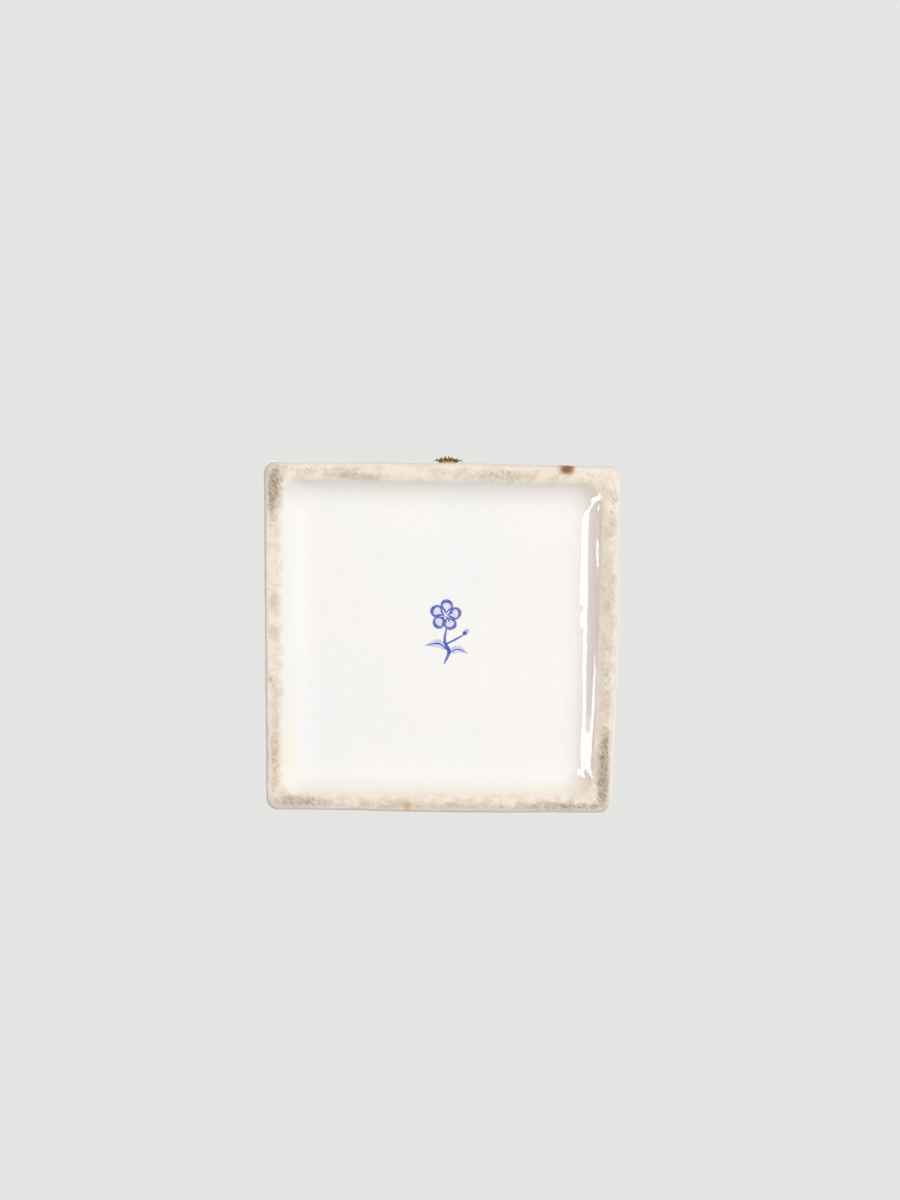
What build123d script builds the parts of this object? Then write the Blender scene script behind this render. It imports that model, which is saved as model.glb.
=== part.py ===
from build123d import *

import math
import os

# A square porcelain box for seal paste, with gilt-brass mounts and a hinged lid.
# The box stands on its foot ring, whose flat face is the plane Z = 0, with the origin at the ring's centre.
# +Z is up, the clasp is at the front (-Y) and the hinge at the back (+Y). Lengths are in millimetres.
# A distance called proud is measured outward from the plane of a porcelain wall's outer face.

# Porcelain, both halves
box_side = 80.0
corner_radius = 2.5
inner_corner_radius = 4.2
lid_wall = 2.6

# Porcelain base
base_height = 26.0
floor_thickness = 3.2
floor_cove = 2.8
foot_width = 3.6
foot_outer_round = 0.6
foot_inner_round = 0.4
recess_depth = 3.2
recess_slope = 35.0
recess_cove = 3.4
recess_floor_corner = 2.6

# Porcelain lid
lid_height = 14.5
crown_rise = 2.4
roof_thickness = 3.0
shoulder_radius = 1.8
ceiling_cove = 2.6

# Brass collars on their plaster beds
collar_sheet = 0.5
cement_bed = 0.2
band_height = 5.0
flange_height = 2.2
collar_edge_round = 0.15
seam_gap = 0.15
bead_radius = 0.45

# Locating lip, soldered inside the base collar
lip_clearance = 0.4
lip_thickness = 0.5
lip_rise = 1.4
lip_seat = 1.8
lip_edge_round = 0.15

# Hinge
open_angle = 100.0
stop_slack_angle = 0.4
knuckle_count = 5
hinge_length = 34.0
knuckle_gap = 0.15
knuckle_radius = 1.4
knuckle_standoff = 0.25
trough_clearance = 0.12
pin_radius = 0.6
pin_clearance = 0.05
pin_head_radius = 1.0
pin_head_height = 0.5
rail_reach = 2.2
rail_drop = 3.3
rail_feather = 0.9

# Catch on the base collar
clasp_offset = 1.2
catch_width = 6.0
catch_thickness = 0.4
catch_margin = 0.3
catch_corner_round = 0.8
stud_radius = 0.8
stud_rise = 0.35
stud_shank_radius = 0.5
stud_height = 1.6

# Clasp tongue, riveted on the lid collar
tongue_sheet = 0.5
tongue_width = 5.0
tongue_clearance = 0.12
tongue_hole_radius = 0.95
tongue_end_round = 1.2
bar_width = 15.0
bar_height = 2.4
bar_margin = 0.3
bar_corner_round = 0.9
joggle_drop = 1.3
rivet_inset = 1.6
rivet_radius = 0.45
rivet_head_radius = 0.75
rivet_head_height = 0.4

# Cast fluted shell of the clasp
shell_height = 8.2
shell_half_angle = 28.0
shell_edge = 0.6
shell_relief = 1.55
lobe_depth = 0.45
rib_count = 7
groove_width = 0.3
groove_depth = 0.3
knob_radius = 1.05
knob_rise = 0.35

# Seal paste, a kneaded cushion
paste_foot_radius = 25.5
paste_radius = 28.0
paste_shoulder_height = 4.6
paste_crown_radius = 17.4
paste_crown_height = 8.4
paste_height = 9.0
paste_side_round = 3.0
paste_crown_round = 40.0

# How far a cutting body runs past what it cuts
overrun = 5.0

# Heights and places that follow from the sizes above
half_side = box_side / 2
base_wall = lid_wall + lip_clearance
collar_proud = cement_bed + collar_sheet
inner_floor_z = recess_depth + floor_thickness
seam_z = base_height + collar_proud
lid_seam_z = seam_z + seam_gap
lid_rim_z = lid_seam_z + collar_proud
crown_z = lid_rim_z + lid_height
crown_ball_radius = (half_side**2 + crown_rise**2) / (2 * crown_rise)
crown_ball_centre = Pos(0, 0, crown_z - crown_ball_radius)

knuckle_length = (hinge_length - (knuckle_count - 1) * knuckle_gap) / knuckle_count
axis_to_band = knuckle_radius + knuckle_standoff
hinge_axis = Pos(0, half_side + collar_proud + axis_to_band, seam_z + seam_gap / 2)

# On the front wall X runs across from the clasp's middle, Y is the height over the foot and Z is proud
front = Plane(origin=(clasp_offset, -half_side, 0), x_dir=(1, 0, 0), z_dir=(0, -1, 0))
flat_band = band_height - 2 * bead_radius
catch_proud = collar_proud + catch_thickness
catch_top = seam_z - catch_margin
catch_low = seam_z - flat_band + catch_margin
stud_place = catch_low + stud_height
tongue_in = catch_proud + stud_rise + tongue_clearance
tongue_out = tongue_in + tongue_sheet
bar_proud = collar_proud + tongue_sheet
bar_top = lid_seam_z + flat_band - bar_margin
bar_low = bar_top - bar_height
bar_middle = (bar_top + bar_low) / 2


def outer_outline(proud):
    """The porcelain's outline in plan, moved outward."""
    side = box_side + 2 * proud
    return RectangleRounded(side, side, corner_radius + proud)


def inner_outline(wall, inward):
    """The outline of the hollow inside a wall, moved inward."""
    side = box_side - 2 * (wall + inward)
    return RectangleRounded(side, side, inner_corner_radius - inward)


def slab(outline, low, high):
    return Pos(0, 0, low) * extrude(outline, high - low)


def ring(outside, inside, low, high):
    return slab(outside, low, high) - slab(inside, low, high)


def top_rim(solid):
    return solid.faces().sort_by(Axis.Z)[-1].outer_wire().edges()


def bottom_rim(solid):
    return solid.faces().sort_by(Axis.Z)[0].outer_wire().edges()


def dome(radius, height):
    """A shallow dome that stands on Z = 0."""
    ball_radius = (radius**2 + height**2) / (2 * height)
    ball = Pos(0, 0, height - ball_radius) * Sphere(ball_radius)
    return split(ball, bisect_by=Plane.XY, keep=Keep.TOP)


def make_porcelain_base():
    block = slab(outer_outline(0), 0, base_height)
    block = fillet(bottom_rim(block), foot_outer_round)

    hollow = slab(inner_outline(base_wall, 0), inner_floor_z, base_height + overrun)
    hollow = fillet(bottom_rim(hollow), floor_cove)

    mouth_side = box_side - 2 * foot_width
    mouth_corner = recess_floor_corner + recess_depth * math.tan(math.radians(recess_slope))
    mouth = RectangleRounded(mouth_side, mouth_side, mouth_corner)
    recess = extrude(mouth, recess_depth, taper=recess_slope)
    recess = fillet(top_rim(recess), recess_cove)

    bowl = block - hollow - recess
    foot_face = bowl.faces().sort_by(Axis.Z)[0]
    return fillet(foot_face.inner_wires()[0].edges(), foot_inner_round)


def make_porcelain_lid():
    block = slab(outer_outline(0), lid_rim_z, crown_z)
    block = block & crown_ball_centre * Sphere(crown_ball_radius)
    block = fillet(top_rim(block), shoulder_radius)

    hollow = slab(inner_outline(lid_wall, 0), lid_rim_z - overrun, crown_z)
    hollow = hollow & crown_ball_centre * Sphere(crown_ball_radius - roof_thickness)
    hollow = fillet(top_rim(hollow), ceiling_cove)
    return block - hollow


def rim_ring(outside, inside, seam, side, near, far):
    """A ring between two distances from a seam, below it where side is -1 and above it where it is 1."""
    low, high = sorted((seam + side * near, seam + side * far))
    return ring(outside, inside, low, high)


def make_collar(wall, seam, side):
    """A brass channel over a wall's rim: the web at the seam, the band outside and the flange inside."""
    outside = outer_outline(collar_proud)
    inside = inner_outline(wall, collar_proud)
    web = rim_ring(outside, inside, seam, side, 0, collar_sheet)
    seam_edges = bottom_rim(web) if side > 0 else top_rim(web)
    web = fillet(seam_edges, collar_edge_round)
    band = rim_ring(outside, outer_outline(cement_bed), seam, side, collar_sheet, band_height)
    flange = rim_ring(inner_outline(wall, cement_bed), inside, seam, side, collar_sheet, flange_height)
    return web + band + flange


def make_cement(wall, seam, side):
    """The plaster that fills the channel round the porcelain's rim."""
    rim = collar_sheet + cement_bed
    outer = rim_ring(outer_outline(cement_bed), outer_outline(0), seam, side, collar_sheet, band_height)
    middle = rim_ring(outer_outline(0), inner_outline(wall, 0), seam, side, collar_sheet, rim)
    inner = rim_ring(
        inner_outline(wall, 0), inner_outline(wall, cement_bed), seam, side, collar_sheet, flange_height
    )
    return outer + middle + inner


def make_beading(seam, side):
    """A half-round wire along the far edge of a collar's band."""
    height = seam + side * (band_height - bead_radius)
    line = Pos(0, 0, height) * outer_outline(collar_proud).wire()
    start = Plane(origin=line @ 0, z_dir=line % 0)
    wire = sweep(start * Circle(bead_radius), path=line)
    return wire - slab(outer_outline(collar_proud), height - overrun, height + overrun)


def make_locating_lip():
    lip = ring(
        inner_outline(base_wall, collar_proud),
        inner_outline(base_wall, collar_proud + lip_thickness),
        seam_z - lip_seat,
        seam_z + lip_rise,
    )
    return fillet(top_rim(lip), lip_edge_round)


def barrel(radius, length, index):
    """A cylinder on the hinge's axis, centred on one knuckle."""
    pitch = knuckle_length + knuckle_gap
    middle = (index - (knuckle_count - 1) / 2) * pitch
    return Pos(middle, 0, 0) * Rot(0, 90, 0) * Cylinder(radius, length)


def make_hinge_leaf(side, own_start, bore_radius):
    """A leaf with every second knuckle. Its rail cradles the other leaf's knuckles, and its sloped face is a stop."""
    stop_angle = math.radians(open_angle / 2 + stop_slack_angle)
    parting = seam_gap / 2
    points = [
        (-axis_to_band, parting),
        (parting / math.tan(stop_angle), parting),
        (rail_reach * math.cos(stop_angle), rail_reach * math.sin(stop_angle)),
        (-axis_to_band + rail_feather, rail_drop),
        (-axis_to_band, rail_drop),
    ]
    corners = [(-hinge_length / 2, out, side * away) for out, away in points]
    leaf = extrude(make_face(Polyline(corners, close=True)), hinge_length, dir=(1, 0, 0))
    for index in range(1 - own_start, knuckle_count, 2):
        leaf -= barrel(knuckle_radius + trough_clearance, knuckle_length + 2 * knuckle_gap, index)
    for index in range(own_start, knuckle_count, 2):
        leaf += barrel(knuckle_radius, knuckle_length, index)
    leaf -= Rot(0, 90, 0) * Cylinder(bore_radius, hinge_length + overrun)
    return hinge_axis * leaf


def make_hinge_pin():
    """A wire pin whose ends are peened to domed heads."""
    pin = Cylinder(pin_radius, hinge_length)
    for tilt in (0, 180):
        pin += Rot(tilt, 0, 0) * Pos(0, 0, hinge_length / 2) * dome(pin_head_radius, pin_head_height)
    return hinge_axis * Rot(0, 90, 0) * pin


def make_catch_plate():
    height = catch_top - catch_low
    plate = Box(catch_width, height, catch_thickness)
    plate = fillet(plate.edges().filter_by(Axis.Z), catch_corner_round)
    plate = Pos(0, (catch_top + catch_low) / 2, collar_proud + catch_thickness / 2) * plate
    shank_hole = Pos(0, stud_place, collar_proud) * Cylinder(stud_shank_radius, overrun)
    return front * (plate - shank_hole)


def make_catch_stud():
    shank = Pos(0, 0, catch_thickness / 2) * Cylinder(stud_shank_radius, catch_thickness)
    stud = shank + Pos(0, 0, catch_thickness) * dome(stud_radius, stud_rise)
    return front * Pos(0, stud_place, collar_proud) * stud


def rivet_places():
    reach = bar_width / 2 - rivet_inset
    return [Pos(x, bar_middle, collar_proud) for x in (-reach, reach)]


def make_clasp_tongue():
    """A T-shaped strip: its bar lies on the lid collar and its stem steps outward, over the catch."""
    bar = Box(bar_width, bar_height, tongue_sheet)
    bar = fillet(bar.edges().filter_by(Axis.Z), bar_corner_round)
    bar = Pos(0, bar_middle, collar_proud + tongue_sheet / 2) * bar
    points = [
        (bar_low, collar_proud),
        (bar_low, bar_proud),
        (bar_low - joggle_drop, tongue_out),
        (catch_low, tongue_out),
        (catch_low, tongue_in),
        (bar_low - joggle_drop, tongue_in),
    ]
    corners = [(-tongue_width / 2, height, proud) for height, proud in points]
    stem = extrude(make_face(Polyline(corners, close=True)), tongue_width, dir=(1, 0, 0))
    stem_end = stem.edges().filter_by(Axis.Z).group_by(Axis.Y)[0]
    stem = fillet(stem_end, tongue_end_round)
    tongue = bar + stem
    tongue -= Pos(0, stud_place, tongue_in) * Cylinder(tongue_hole_radius, overrun)
    for place in rivet_places():
        tongue -= place * Cylinder(rivet_radius, overrun)
    return front * tongue


def make_clasp_rivets():
    shank = Pos(0, 0, tongue_sheet / 2) * Cylinder(rivet_radius, tongue_sheet)
    rivet = shank + Pos(0, 0, tongue_sheet) * dome(rivet_head_radius, rivet_head_height)
    return Compound([front * place * rivet for place in rivet_places()])


def fan_point(distance, angle):
    """A point of the shell's fan, from the beak at the origin, with its middle rib along -Y."""
    turn = math.radians(angle)
    return (distance * math.sin(turn), -distance * math.cos(turn))


def make_shell_fan():
    """The fan's outline: two straight sides from the beak, and one round lobe for each rib."""
    step = 2 * shell_half_angle / rib_count
    valley = shell_height - lobe_depth
    edge = [-shell_half_angle + step * index for index in range(rib_count + 1)]
    lobes = [
        ThreePointArc(
            fan_point(valley, start), fan_point(shell_height, (start + end) / 2), fan_point(valley, end)
        )
        for start, end in zip(edge, edge[1:])
    ]
    sides = [Line((0, 0), fan_point(valley, edge[0])), Line(fan_point(valley, edge[-1]), (0, 0))]
    return make_face(sides + lobes), edge[1:-1]


def make_clasp_shell():
    """The thumb piece, soldered on the tongue: a domed and fluted shell that hangs from a round knob."""
    fan, groove_angles = make_shell_fan()
    reach = shell_height / 2
    rise = shell_relief - shell_edge
    ball_radius = (reach**2 + rise**2) / (2 * rise)
    ball_centre = Pos(0, -reach, shell_relief - ball_radius)
    shell = extrude(fan, shell_relief) & ball_centre * Sphere(ball_radius)
    cut = Pos(0, -reach - knob_radius, shell_relief) * Box(groove_width, shell_height, 2 * shell_relief)
    grooves = [Rot(0, 0, angle) * cut for angle in groove_angles]
    groove_floor = ball_centre * Sphere(ball_radius - groove_depth)
    for groove in grooves:
        shell -= groove - groove_floor
    knob_foot = bar_proud - tongue_out
    shell += Pos(0, 0, (knob_foot + knob_rise) / 2) * Cylinder(knob_radius, knob_rise - knob_foot)
    shell += Pos(0, 0, knob_rise) * dome(knob_radius, knob_radius)
    return front * Pos(0, bar_middle, tongue_out) * shell


def make_seal_paste():
    outline = FilletPolyline(
        (0, 0, paste_height),
        (paste_crown_radius, 0, paste_crown_height),
        (paste_radius, 0, paste_shoulder_height),
        (paste_foot_radius, 0, 0),
        radius=[paste_crown_round, paste_side_round],
    )
    bottom = Polyline((paste_foot_radius, 0, 0), (0, 0, 0), (0, 0, paste_height))
    return Pos(0, 0, inner_floor_z) * revolve(make_face([outline, bottom]), Axis.Z)


nodes = {
    "porcelain_base": make_porcelain_base(),
    "base_collar": make_collar(base_wall, seam_z, -1),
    "base_cement": make_cement(base_wall, seam_z, -1),
    "base_beading": make_beading(seam_z, -1),
    "locating_lip": make_locating_lip(),
    "base_hinge_leaf": make_hinge_leaf(-1, 0, pin_radius),
    "hinge_pin": make_hinge_pin(),
    "catch_plate": make_catch_plate(),
    "catch_stud": make_catch_stud(),
    "seal_paste": make_seal_paste(),
    "porcelain_lid": make_porcelain_lid(),
    "lid_collar": make_collar(lid_wall, lid_seam_z, 1),
    "lid_cement": make_cement(lid_wall, lid_seam_z, 1),
    "lid_beading": make_beading(lid_seam_z, 1),
    "lid_hinge_leaf": make_hinge_leaf(1, 1, pin_radius + pin_clearance),
    "clasp_tongue": make_clasp_tongue(),
    "clasp_rivets": make_clasp_rivets(),
    "clasp_shell": make_clasp_shell(),
}

os.makedirs("parts", exist_ok=True)
for name, shape in nodes.items():
    export_step(shape, f"parts/{name}.step")
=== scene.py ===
import random
from math import ceil, copysign, cos, hypot, pi, radians, sin, sqrt, tan, tau

import bmesh
import bpy
import numpy as np
from mathutils import Euler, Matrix, Quaternion, Vector, noise


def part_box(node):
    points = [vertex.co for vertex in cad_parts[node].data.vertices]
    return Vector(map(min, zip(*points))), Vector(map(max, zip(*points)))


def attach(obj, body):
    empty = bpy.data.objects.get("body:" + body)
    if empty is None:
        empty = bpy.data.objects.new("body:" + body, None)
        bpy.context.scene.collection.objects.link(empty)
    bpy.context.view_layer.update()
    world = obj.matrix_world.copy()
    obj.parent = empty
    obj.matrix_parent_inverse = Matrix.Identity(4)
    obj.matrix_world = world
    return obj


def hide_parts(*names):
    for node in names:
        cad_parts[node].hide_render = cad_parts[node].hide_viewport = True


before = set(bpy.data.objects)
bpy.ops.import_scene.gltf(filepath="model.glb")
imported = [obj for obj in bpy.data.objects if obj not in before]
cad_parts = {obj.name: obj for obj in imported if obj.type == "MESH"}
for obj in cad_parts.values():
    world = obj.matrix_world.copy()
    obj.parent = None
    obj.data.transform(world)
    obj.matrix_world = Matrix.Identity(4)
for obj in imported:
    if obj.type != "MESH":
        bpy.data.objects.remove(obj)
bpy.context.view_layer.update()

# A square porcelain seal paste box with gilt-brass mounts, dressed round its solids.
# Sizes here are in millimetres unless a name says otherwise, and MM turns them into metres.
# The foot faces -Z, the clasp is at the front (-Y) and the hinge at the back (+Y).
MM = 0.001
MERGE_DISTANCE = 2e-6


def mm_box(node):
    """A node's lowest and highest corners in millimetres."""
    low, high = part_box(node)
    return low / MM, high / MM


base_high = mm_box("porcelain_base")[1]
lid_low, lid_high = mm_box("porcelain_lid")
collar_low, collar_high = mm_box("base_collar")
paste_low, paste_high = mm_box("seal_paste")
shell_low, shell_high = mm_box("clasp_shell")

# Porcelain, the forms that both halves share
half_side = base_high.x
outer_corner = 2.5
inner_corner = 4.2
floor_square = 28.0
corner_steps = 9
coarse_step = 2.6
rim_ease = 0.3

# Porcelain base
base_rim_z = base_high.z
base_inner_half = 37.0
floor_z = paste_low.z
floor_cove = 2.8
mouth_half = 36.4
mouth_corner = 3.8
recess_depth = 3.2
recess_rise_half, recess_rise_corner, recess_rise_bend = 29.4, 2.8, 14.0
recess_half, recess_edge_z, recess_corner = 33.5, 2.7, 5.2
recess_cove = 9.0
foot_inner_round = 2.4
foot_outer_round = 0.6

# Porcelain lid
lid_rim_z = lid_low.z
crown_z = lid_high.z
lid_inner_half = 37.4
crown_rise = 2.4
roof_thickness = 3.0
shoulder_radius = 1.8
ceiling_cove = 2.6
wall_top, hollow_top = crown_z - 7.2, crown_z - 10.0
# Rounded squares of the crown and the ceiling: half width and corner
crown_squares = [(floor_square, 0), (29.6, 0.2), (31.2, 0.35), (32.8, 0.45)]
crown_squares += [(34.2, 0.5), (35.6, 0.6), (37.0, 0.65)]
ceiling_squares = [(32.0, 0.5), (floor_square, 0)]
crown_ball = (half_side**2 + crown_rise**2) / (2 * crown_rise)

# The kiln's small irregularities
edge_bulge = {"left": 0.05, "right": 0.6, "front": 0.3, "back": 0.3}
bulge_heights, bulge_places = (6.0, 19.0), (10, 36)
edge_wobble, edge_wobble_pitch, edge_wobble_bias = 0.22, 0.09, -0.35
edge_sharpness = 6
recess_wave, recess_wave_pitch = 0.10, 0.075
recess_ripple, recess_ripple_pitch = 0.035, 0.33
recess_wave_places = (0.5, 3.5)

# Where the brush painting is, and how fine the mesh is there: (middle, reach, step) along X and along Y
recess_paint = ((1.3, 5.6, 0.13), (-1.6, 7.8, 0.13))
crown_paint = ((0.0, 27.0, 0.2), (0.0, 27.0, 0.2))


def rounded_path(corners, steps):
    """A path through corners of (half, z, corner radius in plan, fillet), with each fillet as an arc."""
    path = []
    last = len(corners) - 1
    for index, (half, z, plan, fillet) in enumerate(corners):
        here = Vector((half, z))
        if index in (0, last) or fillet == 0:
            path.append((half, z, plan))
            continue
        before, after = corners[index - 1], corners[index + 1]
        back = Vector(before[:2]) - here
        on = Vector(after[:2]) - here
        turn = pi - back.angle(on)
        reach = fillet * tan(turn / 2)
        start_share, end_share = reach / back.length, reach / on.length
        start, end = here + back * start_share, here + on * end_share
        plan_start = plan + (before[2] - plan) * start_share
        plan_end = plan + (after[2] - plan) * end_share
        inward = (back.normalized() + on.normalized()).normalized()
        centre = here + inward * hypot(fillet, reach)
        side = (end - start).normalized()
        for step in range(steps + 1):
            share = step / steps
            angle = turn * (share - 0.5)
            point = centre + fillet * (-inward * cos(angle) + side * sin(angle))
            path.append((point.x, point.y, plan_start + (plan_end - plan_start) * share))
    return path


def with_steps(path, longest):
    """The same path with its long straight runs divided."""
    divided = [path[0]]
    for start, end in zip(path, path[1:]):
        length = hypot(end[0] - start[0], end[1] - start[1])
        parts = max(1, ceil(length / longest))
        for part in range(1, parts + 1):
            share = part / parts
            divided.append(tuple(a + (b - a) * share for a, b in zip(start, end)))
    return divided


def spaced_lines(middle, reach, fine_step):
    """Places across a square floor: close together where it is painted, and wide apart elsewhere."""
    low, high = middle - reach, middle + reach

    def spread(start, end, step):
        count = max(1, round((end - start) / step))
        return [start + (end - start) * index / count for index in range(count)]

    return (
        spread(-floor_square, low, coarse_step)
        + spread(low, high, fine_step)
        + spread(high, floor_square, coarse_step)
        + [floor_square]
    )


def square_ring(half, corner, x_lines, y_lines):
    """Points round a rounded square, anticlockwise seen from above, that follow a floor's lines."""
    reach = (half - corner) / floor_square
    across = [x * reach for x in x_lines]
    along = [y * reach for y in y_lines]
    middle = half - corner

    def arc(x, y, start):
        angles = [start + pi / 2 * step / corner_steps for step in range(1, corner_steps)]
        return [(x + corner * cos(a), y + corner * sin(a)) for a in angles]

    return (
        [(x, -half) for x in across]
        + arc(middle, -middle, -pi / 2)
        + [(half, y) for y in along]
        + arc(middle, middle, 0)
        + [(x, half) for x in reversed(across)]
        + arc(-middle, middle, pi / 2)
        + [(-half, y) for y in reversed(along)]
        + arc(-middle, -middle, pi)
    )


def add_object(name, data):
    """A new object in the scene, with a mesh, lamp or camera as its data."""
    made = bpy.data.objects.new(name, data)
    bpy.context.scene.collection.objects.link(made)
    return made


class Form:
    """Gathers the points, faces and point values of one closed mesh, in millimetres."""

    def __init__(self, *value_names):
        self.points = []
        self.faces = []
        self.values = {name: [] for name in value_names}

    def add_points(self, points, **values):
        first = len(self.points)
        self.points += [tuple(point) for point in points]
        for name, held in self.values.items():
            held += list(values.get(name, [0.0] * len(points)))
        return first

    def bridge(self, first, second, count, closed=True):
        """Quads between two rows of points."""
        for step in range(count if closed else count - 1):
            turn = (step + 1) % count
            self.faces.append((first + step, first + turn, second + turn, second + step))

    def grid(self, rows, columns, first):
        for row in range(rows - 1):
            start = first + row * columns
            self.bridge(start, start + columns, columns, closed=False)

    def sleeve(self, rings, looped=False):
        """A skin through rings of points: joined end to end where it is looped, and else capped."""
        count = len(rings[0])
        firsts = [self.add_points(ring) for ring in rings]
        for first, second in zip(firsts, firsts[1:] + (firsts[:1] if looped else [])):
            self.bridge(first, second, count)
        if not looped:
            for first in (firsts[0], firsts[-1]):
                self.faces.append(tuple(range(first, first + count)))

    def make(self, name):
        mesh = bpy.data.meshes.new(name)
        mesh.from_pydata([Vector(point) * MM for point in self.points], [], self.faces)
        for value_name, held in self.values.items():
            layer = mesh.attributes.new(value_name, "FLOAT", "POINT")
            layer.data.foreach_set("value", held)
        shape = bmesh.new()
        shape.from_mesh(mesh)
        bmesh.ops.remove_doubles(shape, verts=shape.verts, dist=MERGE_DISTANCE)
        bmesh.ops.dissolve_degenerate(shape, edges=shape.edges, dist=MERGE_DISTANCE)
        bmesh.ops.recalc_face_normals(shape, faces=shape.faces)
        for face in shape.faces:
            face.smooth = True
        shape.to_mesh(mesh)
        shape.free()
        return add_object(name, mesh)


def place(piece, body, slot, material, *replaced):
    """Gives a piece its finish and its body, and hides the nodes that it stands for."""
    piece.data.materials.append(material)
    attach(piece, body)
    if replaced:
        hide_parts(*replaced)


def turns(steps):
    """Angles all the way round, in equal steps."""
    return [tau * step / steps for step in range(steps)]


def smooth_share(value, low, high):
    share = min(1.0, max(0.0, (value - low) / (high - low)))
    return share * share * (3 - 2 * share)


# A painting is a list of brush strokes: points, widths from start to end, and how dense the cobalt is.
# A blossom's places are (share of its size, lean in radians) from its middle, and its widths are shares too.
petal_count = 5
petal_wash, petal_wash_widths = [(0.30, 0), (0.62, 0), (0.86, 0)], [0.10, 0.27, 0.20]
petal_outline = [(0.22, -0.10), (0.52, -0.50), (0.84, -0.47), (1.02, -0.16)]
petal_outline += [(0.97, 0.20), (0.76, 0.50), (0.46, 0.47), (0.24, 0.12)]
petal_outline_widths = [0.030, 0.050, 0.075, 0.045, 0.025]
stamen_count = 9
stamen_foot, stamen_lean, stamen_width, anther_width = 0.10, 0.06, 0.018, 0.045


def blossom(middle, size, turn, weight=1.0):
    """A plum blossom seen from the front: petals of a wash with a thin outline, and its stamens."""
    strokes = []

    def stroke(start, places, widths, density):
        leans = [(share, start + lean) for share, lean in places]
        line = [Vector(middle) + size * share * Vector((sin(a), -cos(a))) for share, a in leans]
        strokes.append((line, [width * size for width in widths], density))

    for index in range(petal_count):
        start = radians(turn) + tau * index / petal_count
        stroke(start, petal_wash, petal_wash_widths, 0.22 * weight)
        stroke(start, petal_outline, [width * weight for width in petal_outline_widths], 0.85)
    for index in range(stamen_count):
        start = radians(turn + 17) + tau * index / stamen_count
        reach = 0.40 + 0.06 * sin(2.3 * index)
        tip = (reach, stamen_lean)
        stroke(start, [(stamen_foot, 0), tip], [stamen_width * weight] * 2, 0.8)
        stroke(start, [tip, (reach + 0.03, stamen_lean)], [anther_width] * 2, 1.0)
    return strokes


def bud(middle, size, turn):
    """A closed bud: a round wash in a dark cup."""
    middle = Vector(middle)
    along = Vector((sin(radians(turn)), -cos(radians(turn))))
    ball = [middle, middle + along * 0.5 * size]
    cup = [middle - along * 0.35 * size, middle - along * 0.1 * size]
    return [
        (ball, [0.42 * size, 0.34 * size], 0.55),
        (cup, [0.16 * size, 0.30 * size], 1.0),
    ]


def branch(points, widths, density=0.95):
    return [([Vector(point) for point in points], widths, density)]


def leaf(points, width):
    """A leaf as one loaded brush stroke with a darker vein."""
    points = [Vector(point) for point in points]
    return [
        (points, [0.08 * width, 0.9 * width, width, 0.6 * width, 0.06 * width], 0.42),
        (points, [0.12 * width, 0.16 * width, 0.05 * width], 0.9),
    ]


def recess_sprig():
    """A small sprig in the recess, with its blossom towards the clasp."""
    return (
        blossom((1.0, -5.6), 3.3, 8, 1.6)
        + bud((5.6, -1.6), 1.4, 40)
        + branch([(1.2, -2.4), (0.9, 0.4), (1.9, 2.9), (0.9, 5.6)], [0.20, 0.30, 0.42, 0.16])
        + branch([(1.0, 1.2), (3.0, 0.2), (5.1, -1.0)], [0.20, 0.24, 0.14])
        + leaf([(1.5, 2.4), (-0.6, 1.0), (-3.6, 1.5)], 1.0)
        + leaf([(1.8, 3.2), (3.9, 2.3), (6.2, 3.2)], 0.9)
    )


# Each one's middle, size and turn in degrees
crown_blossoms = [
    ((-16.8, -6.4), 5.2, 12), ((-2.6, -17.0), 4.3, 50), ((9.6, -12.4), 5.4, -14), ((12.4, -1.0), 3.9, 30),
    ((1.4, 11.4), 5.0, 5), ((16.2, 12.6), 4.2, 44), ((-9.6, 5.4), 4.4, -25),
]
crown_buds = [
    ((-21.6, -18.8), 1.7, -30), ((-19.6, -13.2), 1.4, -75), ((-4.4, -22.4), 1.6, -10),
    ((19.8, -20.2), 1.8, 55), ((15.0, -18.4), 1.3, 0), ((19.0, -5.4), 1.6, 70),
    ((23.4, 10.2), 1.7, 80), ((8.2, 9.4), 1.3, 10), ((-22.4, 19.6), 1.4, -60),
]


def crown_branch():
    """A plum branch across the lid's crown, drawn to be seen from the front."""
    trunk = [(-27.0, 24.0), (-19.0, 18.5), (-14.5, 9.5), (-5.5, 4.5)]
    trunk += [(3.0, -4.0), (9.5, -13.0), (19.0, -19.5)]
    low_twig = [(-16.0, 13.0), (-6.0, 14.0), (4.0, 10.5), (14.0, 13.0), (22.5, 10.5)]
    left_twig = [(-11.5, 7.4), (-17.0, -1.0), (-17.5, -10.5), (-21.5, -18.0)]
    short_twig = [(5.0, -6.6), (2.0, -14.0), (-3.5, -20.5)]
    right_twig = [(0.6, -1.4), (9.0, -1.5), (18.0, -5.0)]
    strokes = branch(trunk, [1.35, 1.15, 1.0, 0.85, 0.6, 0.45, 0.15], 0.62)
    strokes += branch([(x + 0.35, y + 0.45) for x, y in trunk], [0.5, 0.55, 0.4, 0.4, 0.25, 0.2, 0.08], 0.85)
    for twig in (low_twig, left_twig, short_twig, right_twig):
        strokes += branch(twig, [0.5, 0.42, 0.34, 0.24, 0.1], 0.82)
    for flower in crown_blossoms:
        strokes += blossom(*flower)
    for flower in crown_buds:
        strokes += bud(*flower)
    return strokes


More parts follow.
